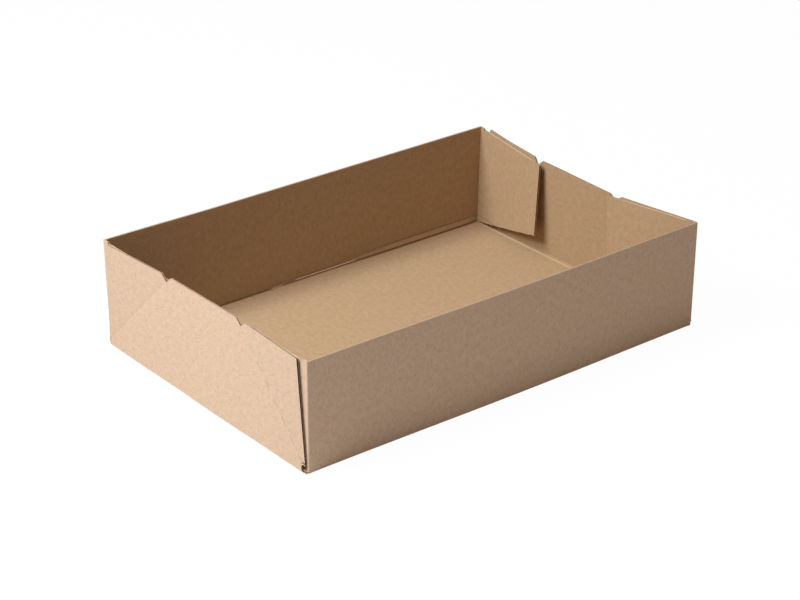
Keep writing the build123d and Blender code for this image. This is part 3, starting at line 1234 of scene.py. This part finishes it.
@dataclass
class Sheet:
    """The patches welded into one skin, as arrays ready for a mesh."""

    board: Board
    outer: np.ndarray
    inner: np.ndarray
    blank: np.ndarray
    quads: np.ndarray
    triangles: np.ndarray
    wear_out: np.ndarray
    wear_in: np.ndarray
    hollow: np.ndarray

    @classmethod
    def weld(cls, board: Board, patches: list[Patch], wear: WearAndPaintedLight) -> Sheet:
        """Joins patches wherever they share a place in the blank.

        Args:
            board: The board, for its washboard relief.
            patches: Grids of the sheet.
            wear: Where the liners are rubbed, and where highlight and shade are painted on them.

        Returns:
            The sheet, with unused points and collapsed faces left out.
        """
        blank = np.concatenate([p.blank.reshape(-1, 2) for p in patches])
        outer = np.concatenate([p.outer.reshape(-1, 3) for p in patches])
        inner = np.concatenate([p.inner.reshape(-1, 3) for p in patches])
        key = np.round(blank / WELD).astype(np.int64)
        _, first, index = np.unique(key, axis=0, return_index=True, return_inverse=True)
        index = index.reshape(-1)
        blank, outer, inner = blank[first], outer[first], inner[first]
        quads, start = [], 0
        for patch in patches:
            rows, columns = patch.blank.shape[:2]
            grid = index[start : start + rows * columns].reshape(rows, columns)
            quads.append(patch.faces(grid, outer, inner))
            start += rows * columns
        quads = np.concatenate(quads)
        same = quads == np.roll(quads, -1, axis=1)
        count = same.sum(1)
        whole = quads[count == 0]
        three = quads[count == 1][~same[count == 1]].reshape(-1, 3)
        numbers = np.concatenate([whole.ravel(), three.ravel()])
        used, compact = np.unique(numbers, return_inverse=True)
        compact = compact.reshape(-1)
        blank = blank[used]
        return cls(
            board=board,
            outer=outer[used],
            inner=inner[used],
            blank=blank,
            quads=compact[: whole.size].reshape(-1, 4),
            triangles=compact[whole.size :].reshape(-1, 3),
            wear_out=wear.outside(blank),
            wear_in=wear.inside(blank),
            hollow=wear.hollow(blank),
        )

    def boundary(self) -> np.ndarray:
        """Directed edges of the skin that only one face has.

        Returns:
            The two point numbers of each edge.
        """
        loops = [np.stack([faces, np.roll(faces, -1, 1)], -1).reshape(-1, 2)
                 for faces in (self.quads, self.triangles)]
        edges = np.concatenate(loops)
        count = len(self.outer)
        code = edges[:, 0] * count + edges[:, 1]
        back = edges[:, 1] * count + edges[:, 0]
        return edges[~np.isin(code, back)]

    def outward(self, edges: np.ndarray) -> np.ndarray:
        """Direction out of the sheet at each point of a cut edge, with mitred length.

        The mitre divides by the summed direction's square, held at a least value, so that a
        sharp corner doesn't throw its point far out.

        Args:
            edges: Directed boundary edges.

        Returns:
            One vector for every point of the skin, zero off the boundary.
        """
        through = self.outer - self.inner
        along = self.outer[edges[:, 1]] - self.outer[edges[:, 0]]
        out = np.cross(along, through[edges[:, 0]] + through[edges[:, 1]])
        out /= np.linalg.norm(out, axis=1, keepdims=True)
        total = np.zeros_like(self.outer)
        np.add.at(total, edges[:, 0], out)
        np.add.at(total, edges[:, 1], out)
        size = (total * total).sum(1, keepdims=True)
        least = 0.5
        mitre = 2.0 * total / np.maximum(size, least)
        return np.where(size > 0, mitre, 0.0)

    def openness(self, edges: np.ndarray) -> np.ndarray:
        """Depth of the channel at each point of a cut: deep where it crosses the flutes.

        Args:
            edges: Directed boundary edges.

        Returns:
            One depth for every point of the skin.
        """
        run = self.blank[edges[:, 1]] - self.blank[edges[:, 0]]
        crossing = np.abs(run[:, 1]) / np.linalg.norm(run, axis=1)
        total, count = np.zeros(len(self.blank)), np.zeros(len(self.blank))
        for side in (0, 1):
            np.add.at(total, edges[:, side], crossing)
            np.add.at(count, edges[:, side], 1.0)
        share = np.where(self.hollow, 1.0, total / np.maximum(count, 1.0))
        board = self.board
        return board.channel_along + (board.channel_across - board.channel_along) * share

    def gloom(self, depth: np.ndarray) -> np.ndarray:
        """Colour of a channel: paler raw fibre where it is shallow, and painted shade where it
        is deep.

        Args:
            depth: Depths of the channel.

        Returns:
            The wear at each.
        """
        board = self.board
        open_share = (depth - board.channel_along) / (board.channel_across - board.channel_along)
        darker = board.deep_shade - board.shallow_wear
        return board.shallow_wear + darker * smooth_step(board.gloom_rate * open_share)

    def relieved(self) -> tuple[np.ndarray, np.ndarray]:
        """Both liners with the washboard relief: each sinks between the flutes it is glued to.

        Returns:
            The places of the outer and of the inner liner's points.
        """
        through = self.outer - self.inner
        through /= np.linalg.norm(through, axis=1, keepdims=True)
        wave = self.board.washboard * self.board.wave(self.blank[:, 1])[:, None] * through
        return self.outer + wave, self.inner + wave

    def board_mesh(self, name: str) -> bpy.types.Mesh:
        """Closed mesh of the board: two liners, and lips and a channel along every cut.

        Args:
            name: Name of the mesh.

        Returns:
            The mesh, with the sheet's places as its UV map.
        """
        board, count = self.board, len(self.outer)
        outer, inner = self.relieved()
        edges = self.boundary()
        rim = np.unique(edges)
        place = np.full(count, -1)
        place[rim] = np.arange(len(rim))
        across = inner[rim] - outer[rim]
        lip = across * (board.liner / np.linalg.norm(across, axis=1, keepdims=True))
        depth = self.openness(edges)[rim]
        sink = self.outward(edges)[rim] * depth[:, None]
        rings = [outer[rim] + lip, outer[rim] + lip - sink]
        rings += [inner[rim] - lip - sink, inner[rim] - lip]
        points = np.concatenate([outer, inner, *rings])
        ids = [rim, *[2 * count + len(rim) * k + np.arange(len(rim)) for k in range(4)]]
        ids += [count + rim]
        a, b = place[edges[:, 0]], place[edges[:, 1]]
        strips = [np.stack([n[b], n[a], m[a], m[b]], 1) for n, m in zip(ids, ids[1:])]
        faces = [
            (self.quads, Face.OUTER_LINER),
            (self.triangles, Face.OUTER_LINER),
            (self.quads[:, ::-1] + count, Face.INNER_LINER),
            (self.triangles[:, ::-1] + count, Face.INNER_LINER),
            *[(strip, Face.CUT_EDGE) for strip in strips],
        ]
        blank = np.concatenate([self.blank, self.blank, *[self.blank[rim]] * 4])
        # Deep channels and the inner lips of open flutes take painted shade; other lips stay
        # slightly paler raw fibre.
        gloom, lip_wear = self.gloom(depth), np.full(len(rim), board.lip_wear)
        shaded = np.where(self.hollow[rim], board.hollow_lip_shade, lip_wear)
        wear = np.concatenate([self.wear_out, self.wear_in, lip_wear, gloom, gloom, shaded])
        return make_mesh(name, points, faces, blank, wear)

    def fluting_mesh(self, name: str) -> bpy.types.Mesh:
        """Closed ribbons of the fluting in the channel of every cut edge.

        Between two points of a cut, the ribbon's place across the board is the wave of the
        flutes at that place in the blank, so a cut across them shows the wave, and one along
        them a line.

        Args:
            name: Name of the mesh.

        Returns:
            The mesh.
        """
        board, edges = self.board, self.boundary()
        outer, inner = self.relieved()
        out = self.outward(edges)
        steps = board.wave_steps
        share = np.arange(steps + 1) / steps
        a, b = edges[:, :1], edges[:, 1:]

        def between(values: np.ndarray) -> np.ndarray:
            """Values along each edge, from one end to the other."""
            first, second = values[a], values[b]
            return first + (second - first) * share.reshape(1, -1, *[1] * (values.ndim - 1))

        top, bottom, away = between(outer), between(inner), between(out)
        wave = board.wave(between(self.blank[:, 1]))[..., None]
        across = bottom - top
        size = np.linalg.norm(across, axis=2, keepdims=True)
        swing = 0.5 * (size - 2.0 * board.liner - board.medium) / size
        centre = top + across * (0.5 - swing * wave)
        half = across * (0.5 * board.medium / size)
        depth = between(self.openness(edges))[..., None]
        high = -away * (board.ribbon_sink + board.ribbon_share * depth)
        deep = -away * (depth + board.ribbon_root)
        ring = np.stack([centre - half + high, centre + half + high, centre + half + deep,
                         centre - half + deep], 2)
        count = len(outer)
        vertex = np.full((len(edges), steps + 1), -1)
        vertex[:, 0], vertex[:, -1] = edges[:, 0], edges[:, 1]
        vertex[:, 1:-1] = count + np.arange(len(edges) * (steps - 1)).reshape(len(edges), -1)
        _, first, index = np.unique(vertex.ravel(), return_index=True, return_inverse=True)
        index = index.reshape(len(edges), steps + 1)
        points = ring.reshape(-1, 4, 3)[first].reshape(-1, 3)
        spots = between(self.blank).reshape(-1, 2)[first]
        # The fluting is painted darker the deeper its channel, as shade; its rim less so, except
        # in open flutes.
        gloom = self.gloom(depth.ravel()[first])
        hollow = between(self.hollow.astype(float)).ravel()[first]
        rim_gloom = gloom * (board.rim_gloom + (1.0 - board.rim_gloom) * hollow)
        here, there = index[:, :-1].ravel() * 4, index[:, 1:].ravel() * 4
        faces = [(np.stack([here + k, there + k, there + n, here + n], 1), Face.CUT_EDGE)
                 for k, n in ((0, 1), (1, 2), (2, 3), (3, 0))]
        shade = np.stack([rim_gloom, rim_gloom, gloom, gloom], 1).ravel()
        return make_mesh(name, points, faces, np.repeat(spots, 4, axis=0), shade)


def make_mesh(
    name: str,
    points: np.ndarray,
    faces: list[tuple[np.ndarray, Face]],
    blank: np.ndarray,
    wear: np.ndarray,
) -> bpy.types.Mesh:
    """Puts arrays into a mesh, with smooth faces, sharp edges at corners and the UV map.

    Args:
        name: Name of the mesh.
        points: Its vertices.
        faces: Arrays of faces with three or four corners, each with its kind.
        blank: Place of each vertex in the flat sheet.
        wear: How rubbed the paper is at each vertex, with painted highlight, and how dark with
            painted shade below 0.

    Returns:
        The mesh.
    """
    sizes = np.concatenate([np.full(len(f), f.shape[1]) for f, _ in faces])
    corners = np.concatenate([f.ravel() for f, _ in faces]).astype(np.int32)
    kinds = np.concatenate([np.full(len(f), kind.value) for f, kind in faces])
    mesh = bpy.data.meshes.new(name)
    mesh.vertices.add(len(points))
    mesh.vertices.foreach_set("co", points.astype(np.float32).ravel())
    mesh.loops.add(len(corners))
    mesh.loops.foreach_set("vertex_index", corners)
    mesh.polygons.add(len(sizes))
    starts = np.concatenate([[0], np.cumsum(sizes)[:-1]]).astype(np.int32)
    mesh.polygons.foreach_set("loop_start", starts)
    mesh.polygons.foreach_set("loop_total", sizes.astype(np.int32))
    mesh.polygons.foreach_set("material_index", kinds.astype(np.int32))
    layer = mesh.uv_layers.new(name=SHEET_MAP)
    layer.uv.foreach_set("vector", blank[corners].astype(np.float32).ravel())
    rubbed_and_lit = mesh.attributes.new(WEAR_AND_LIGHT, "FLOAT", "POINT")
    rubbed_and_lit.data.foreach_set("value", wear.astype(np.float32))
    mesh.update(calc_edges=True)
    mesh.validate()
    mesh.shade_smooth()
    mesh.set_sharp_from_angle(angle=math.radians(SHARP_ANGLE))
    return mesh


@dataclass(frozen=True)
class Grain:
    """A layer of noise: its cells in a metre, its octaves and the scale of each axis.

    A scale below 1 makes the spots longer that way.
    """

    scale: float
    detail: float
    stretch: tuple[float, float, float] = (1.0, 1.0, 1.0)


class Nodes:
    """A material's node tree, with short calls to add and join nodes."""

    def __init__(self, name: str) -> None:
        """Makes the material with an empty tree.

        Args:
            name: Name of the material.
        """
        self.material = bpy.data.materials.new(name)
        self.material.use_nodes = True
        self.tree = self.material.node_tree
        self.tree.nodes.clear()
        self.output = self.tree.nodes.new("ShaderNodeOutputMaterial")

    def add(self, kind: str, **settings: object) -> bpy.types.Node:
        """Adds a node and sets its properties.

        Args:
            kind: Blender's name of the node type.
            **settings: Properties of the node.

        Returns:
            The node.
        """
        node = self.tree.nodes.new(kind)
        for name, value in settings.items():
            setattr(node, name, value)
        return node

    def join(self, source: bpy.types.NodeSocket, target: bpy.types.NodeSocket) -> None:
        """Links one socket to another."""
        self.tree.links.new(source, target)

    def noise(self, place: bpy.types.NodeSocket, grain: Grain) -> bpy.types.NodeSocket:
        """Noise of about 0 to 1 at a place.

        Args:
            place: Coordinates to read.
            grain: The noise's layer.

        Returns:
            The noise's value.
        """
        mapping = self.add("ShaderNodeMapping")
        mapping.inputs["Scale"].default_value = grain.stretch
        self.join(place, mapping.inputs["Vector"])
        noise = self.add("ShaderNodeTexNoise")
        noise.inputs["Scale"].default_value = grain.scale
        noise.inputs["Detail"].default_value = grain.detail
        self.join(mapping.outputs["Vector"], noise.inputs["Vector"])
        return noise.outputs["Fac"]

    def ramp(self, value: bpy.types.NodeSocket, low: float, high: float,
             start: float = 0.0, stop: float = 1.0) -> bpy.types.NodeSocket:
        """Maps a value from low..high to start..stop, held at the ends.

        Args:
            value: Socket of the value.
            low: Value that maps to start.
            high: Value that maps to stop.
            start: Result at low.
            stop: Result at high.

        Returns:
            Socket of the result.
        """
        node = self.add("ShaderNodeMapRange")
        for name, number in (("From Min", low), ("From Max", high),
                             ("To Min", start), ("To Max", stop)):
            node.inputs[name].default_value = number
        self.join(value, node.inputs["Value"])
        return node.outputs["Result"]

    def mix(self, share: bpy.types.NodeSocket | float, first: object, second: object,
            blend: str = "MIX") -> bpy.types.NodeSocket:
        """Mixes two colours.

        Args:
            share: Share of the second.
            first: Colour or socket.
            second: Colour or socket.
            blend: Blender's name of the way of mixing.

        Returns:
            The mixed colour.
        """
        node = self.add("ShaderNodeMix", data_type="RGBA", blend_type=blend)
        sockets = (node.inputs[0], node.inputs[6], node.inputs[7])
        for socket, value in zip(sockets, (share, first, second)):
            if isinstance(value, bpy.types.NodeSocket):
                self.join(value, socket)
            else:
                socket.default_value = value if isinstance(value, float) else (*value, 1.0)
        return node.outputs[2]


@dataclass(frozen=True)
class KraftPaper:
    """Finish of a kraft liner: flecked brown paper, fibres along the flutes.

    Each range is the part of a noise, or of the point attribute, over which its effect grows.
    The paler rub colour stands for rubbing and painted highlight, the torn colour for torn fibre
    brightened as painted highlight, and the darkest colour is painted shade.
    """

    name: str
    light: tuple[float, float, float]
    dark: tuple[float, float, float]
    roughness: float = 0.88
    roughness_swing: float = 0.06
    specular: float = 0.25
    cloud: Grain = Grain(38.0, 2.0)
    cloud_range: tuple[float, float] = (0.35, 0.65)
    mottle: Grain = Grain(240.0, 3.0, (1.0, 0.6, 1.0))
    mottle_range: tuple[float, float] = (0.3, 0.7)
    clouding: float = 0.28
    fibre: Grain = Grain(1100.0, 2.0, (1.0, 0.2, 1.0))
    fibre_range: tuple[float, float] = (0.35, 0.7)
    fibres: float = 0.35
    fleck: Grain = Grain(700.0, 1.0, (1.0, 0.6, 1.0))
    fleck_range: tuple[float, float] = (0.6, 0.76)
    fleck_strength: float = 0.5
    fleck_shade: float = 0.6
    pink: tuple[float, float, float] = (1.01, 0.993, 1.005)
    straw: tuple[float, float, float] = (0.993, 1.005, 0.98)
    # Rub colour: rubbing with painted highlight; torn colour: torn fibre with painted highlight;
    # last colour: painted shade.
    rub_and_highlight_range: tuple[float, float] = (0.35, 0.6)
    rub_and_highlight_least: float = 0.45
    rub_and_highlight_paler: float = 1.3
    torn_and_highlight_range: tuple[float, float] = (0.9, 1.25)
    torn_and_highlight: tuple[float, float, float] = (0.86, 0.72, 0.56)
    painted_shade_range: tuple[float, float] = (0.0, -1.0)
    painted_shade: tuple[float, float, float] = (0.075, 0.042, 0.022)
    bump_strength: float = 0.25
    bump_height: float = 0.06 * MM

    def material(self) -> bpy.types.Material:
        """Builds the material.

        Returns:
            The material, reading Object coordinates and the sheet's own map.
        """
        nodes = Nodes(self.name)
        place = nodes.add("ShaderNodeTexCoord").outputs["Object"]
        sheet = nodes.add("ShaderNodeUVMap", uv_map=SHEET_MAP).outputs["UV"]
        cloud = nodes.noise(place, self.cloud)
        mottle = nodes.noise(sheet, self.mottle)
        fibre = nodes.noise(sheet, self.fibre)
        fleck = nodes.noise(sheet, self.fleck)
        mottled = nodes.ramp(mottle, *self.mottle_range, 0.5 - self.clouding,
                             0.5 + self.clouding)
        colour = nodes.mix(mottled, self.light, self.dark)
        fibrous = nodes.ramp(fibre, *self.fibre_range, 0.0, self.fibres)
        colour = nodes.mix(fibrous, colour, self.light)
        hue = nodes.mix(nodes.ramp(cloud, *self.cloud_range), self.pink, self.straw)
        colour = nodes.mix(1.0, colour, hue, "MULTIPLY")
        spots = tuple(self.fleck_shade * c for c in self.dark)
        flecked = nodes.ramp(fleck, *self.fleck_range, 0.0, self.fleck_strength)
        colour = nodes.mix(flecked, colour, spots)
        wear = nodes.add("ShaderNodeAttribute", attribute_name=WEAR_AND_LIGHT).outputs["Fac"]
        # Above 0 the paper turns paler, for rubbing and painted highlight, above 1 torn and lit,
        # and below 0 dark as painted shade.
        patchy = nodes.ramp(mottle, *self.rub_and_highlight_range, self.rub_and_highlight_least, 1.0)
        rub_and_highlight = nodes.add("ShaderNodeMath", operation="MULTIPLY", use_clamp=True)
        nodes.join(wear, rub_and_highlight.inputs[0])
        nodes.join(patchy, rub_and_highlight.inputs[1])
        rubbed_and_lit = tuple(self.rub_and_highlight_paler * c for c in self.light)
        colour = nodes.mix(rub_and_highlight.outputs[0], colour, rubbed_and_lit)
        colour = nodes.mix(nodes.ramp(wear, *self.torn_and_highlight_range), colour, self.torn_and_highlight)
        colour = nodes.mix(nodes.ramp(wear, *self.painted_shade_range), colour, self.painted_shade)
        shader = nodes.add("ShaderNodeBsdfPrincipled")
        shader.inputs["Specular IOR Level"].default_value = self.specular
        rough = nodes.ramp(mottle, *self.mottle_range, self.roughness - self.roughness_swing,
                           self.roughness + self.roughness_swing)
        nodes.join(rough, shader.inputs["Roughness"])
        nodes.join(colour, shader.inputs["Base Color"])
        bump = nodes.add("ShaderNodeBump")
        bump.inputs["Strength"].default_value = self.bump_strength
        bump.inputs["Distance"].default_value = self.bump_height
        nodes.join(fibre, bump.inputs["Height"])
        nodes.join(bump.outputs["Normal"], shader.inputs["Normal"])
        nodes.join(shader.outputs["BSDF"], nodes.output.inputs["Surface"])
        return nodes.material


@dataclass(frozen=True)
class StudioFloor:
    """White floor that the camera sees as white, with the object's shadow kept faint. It glows
    white in glossy rays too, which paints a sheen on the box.
    """

    name: str = "studio_floor"
    albedo: float = 0.8
    backdrop_and_sheen_glow: float = 0.97

    def material(self) -> bpy.types.Material:
        """Builds the material: a white diffuse floor, mixed with white light for the camera and
        for glossy rays, the latter a painted sheen on the box.

        Returns:
            The material.
        """
        nodes = Nodes(self.name)
        matt = nodes.add("ShaderNodeBsdfDiffuse")
        matt.inputs["Color"].default_value = (self.albedo,) * 3 + (1.0,)
        white = nodes.add("ShaderNodeEmission")
        white.inputs["Color"].default_value = (1.0, 1.0, 1.0, 1.0)
        path = nodes.add("ShaderNodeLightPath")
        # Glow for camera rays, as the white backdrop, and for glossy rays, as a painted sheen on
        # the box.
        camera_or_glossy = nodes.add("ShaderNodeMath", operation="ADD", use_clamp=True)
        nodes.join(path.outputs["Is Camera Ray"], camera_or_glossy.inputs[0])
        nodes.join(path.outputs["Is Glossy Ray"], camera_or_glossy.inputs[1])
        share = nodes.ramp(camera_or_glossy.outputs[0], 0.0, 1.0, 0.0, self.backdrop_and_sheen_glow)
        mixed = nodes.add("ShaderNodeMixShader")
        nodes.join(share, mixed.inputs[0])
        nodes.join(matt.outputs[0], mixed.inputs[1])
        nodes.join(white.outputs[0], mixed.inputs[2])
        nodes.join(mixed.outputs[0], nodes.output.inputs["Surface"])
        return nodes.material


@dataclass
class Lamp:
    """A square soft light, by where it hangs round the box."""

    name: str
    azimuth: float
    elevation: float
    power: float
    size: float = 2.2
    distance: float = 3.2
    colour: tuple[float, float, float] = (1.0, 1.0, 1.0)

    def build(self, aim: Vector) -> bpy.types.Object:
        """Makes the lamp, turned to a point.

        Args:
            aim: The point.

        Returns:
            The lamp.
        """
        a, e = math.radians(self.azimuth), math.radians(self.elevation)
        way = Vector((math.cos(a) * math.cos(e), math.sin(a) * math.cos(e), math.sin(e)))
        data = bpy.data.lights.new(self.name, "AREA")
        data.shape = "SQUARE"
        data.size = self.size
        data.energy = self.power
        data.color = self.colour
        lamp = bpy.data.objects.new(self.name, data)
        lamp.location = aim + way * self.distance
        lamp.rotation_mode = "QUATERNION"
        lamp.rotation_quaternion = (-way).to_track_quat("-Z", "Y")
        bpy.context.scene.collection.objects.link(lamp)
        return lamp


@dataclass
class Studio:
    """Floor, world, lamps and the camera at the photograph's angle.

    Angles are in degrees. The lens and the sensor are in millimetres.
    """

    floor_half: float = 6.0
    floor_level: float = -0.4 * MM
    world_light: float = 0.276
    world_tint: tuple[float, float, float] = (1.15, 0.985, 0.86)
    azimuth: float = -39.01
    elevation: float = 25.876
    roll: float = 0.233
    distance: float = 2.3555
    aim_right: float = -3.18 * MM
    aim_up: float = 33.7 * MM
    lens: float = 109.02
    sensor: float = 36.0
    clip: tuple[float, float] = (0.05, 50.0)
    lamp_aim: float = 55.0 * MM
    lamps: tuple[Lamp, ...] = (
        Lamp("lamp_left", azimuth=168.0, elevation=53.0, power=53.0, size=0.95, distance=1.9,
             colour=(0.965, 1.05, 1.15)),
    )

    def floor(self) -> bpy.types.Object:
        """Makes the floor, a wide square.

        Returns:
            The floor, staged.
        """
        h, z = self.floor_half, self.floor_level
        mesh = bpy.data.meshes.new("floor")
        mesh.from_pydata([(-h, -h, z), (h, -h, z), (h, h, z), (-h, h, z)], [], [(0, 1, 2, 3)])
        mesh.materials.append(StudioFloor().material())
        piece = bpy.data.objects.new("floor", mesh)
        bpy.context.scene.collection.objects.link(piece)
        return piece

    def world(self) -> None:
        """Lights the scene evenly, and shows the camera plain white."""
        world = bpy.data.worlds.new("studio_world")
        world.use_nodes = True
        tree = world.node_tree
        tree.nodes.clear()
        path = tree.nodes.new("ShaderNodeLightPath")
        level = tree.nodes.new("ShaderNodeMapRange")
        level.inputs["To Min"].default_value = self.world_light
        level.inputs["To Max"].default_value = 1.0
        tree.links.new(path.outputs["Is Camera Ray"], level.inputs["Value"])
        light = tree.nodes.new("ShaderNodeBackground")
        tint = tree.nodes.new("ShaderNodeMix")
        tint.data_type = "RGBA"
        tint.inputs[6].default_value = (*self.world_tint, 1.0)
        tint.inputs[7].default_value = (1.0, 1.0, 1.0, 1.0)
        tree.links.new(path.outputs["Is Camera Ray"], tint.inputs[0])
        tree.links.new(tint.outputs[2], light.inputs["Color"])
        tree.links.new(level.outputs["Result"], light.inputs["Strength"])
        output = tree.nodes.new("ShaderNodeOutputWorld")
        tree.links.new(light.outputs["Background"], output.inputs["Surface"])
        bpy.context.scene.world = world

    def camera(self) -> bpy.types.Object:
        """Makes the camera from its azimuth, elevation, roll and distance.

        Returns:
            The camera, set as the scene's.
        """
        a, e, r = (math.radians(v) for v in (self.azimuth, self.elevation, self.roll))
        view = Vector((-math.sin(a) * math.cos(e), math.cos(a) * math.cos(e), -math.sin(e)))
        right = view.cross(Vector((0.0, 0.0, 1.0))).normalized()
        up = right.cross(view)
        right, up = (math.cos(r) * right + math.sin(r) * up,
                     math.cos(r) * up - math.sin(r) * right)
        place = -view * self.distance + right * self.aim_right + up * self.aim_up
        data = bpy.data.cameras.new("camera")
        data.lens = self.lens
        data.sensor_width = self.sensor
        data.clip_start, data.clip_end = self.clip
        camera = bpy.data.objects.new("camera", data)
        turned = Matrix((right, up, -view)).transposed().to_4x4()
        camera.matrix_world = Matrix.Translation(place) @ turned
        bpy.context.scene.collection.objects.link(camera)
        bpy.context.scene.camera = camera
        return camera

    def build(self) -> None:
        """Makes the floor, world, lamps and camera."""
        self.floor()
        self.world()
        for lamp in self.lamps:
            lamp.build(Vector((0.0, 0.0, self.lamp_aim)))
        self.camera()
        bpy.context.scene.view_settings.view_transform = "Standard"


def add_piece(mesh: bpy.types.Mesh, materials: list[bpy.types.Material]) -> bpy.types.Object:
    """Makes a piece of the box from a mesh, riding on the box and standing for its solid.

    Args:
        mesh: The mesh, in place.
        materials: Its materials, in the order of its faces' kinds.

    Returns:
        The piece.
    """
    for material in materials:
        mesh.materials.append(material)
    piece = bpy.data.objects.new(mesh.name, mesh)
    bpy.context.scene.collection.objects.link(piece)
    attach(piece, BODY)
    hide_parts(NODE)
    LOG.info("%s: %d vertices, %d faces", piece.name, len(mesh.vertices), len(mesh.polygons))
    return piece


def main() -> None:
    """Builds the box and the studio."""
    logging.basicConfig(level=logging.INFO, format="%(name)s %(message)s")
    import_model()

    outside = KraftPaper("kraft_outside", light=(0.532, 0.371, 0.25), dark=(0.411, 0.275, 0.178),
                         clouding=0.34, fibres=1.0)
    inside = KraftPaper("kraft_inside", light=(0.455, 0.300, 0.168), dark=(0.348, 0.217, 0.113))
    edge = KraftPaper("kraft_cut_edge", light=(0.52, 0.375, 0.25), dark=(0.39, 0.27, 0.165))
    finishes = [finish.material() for finish in (outside, inside, edge)]

    tray = Tray()
    sheet = Sheet.weld(tray.board, tray.patches(), WearAndPaintedLight(tray.cut))
    add_piece(sheet.board_mesh("tray_board"), finishes)
    add_piece(sheet.fluting_mesh("tray_fluting"), finishes)

    Studio().build()


if __name__ == "__main__":
    main()
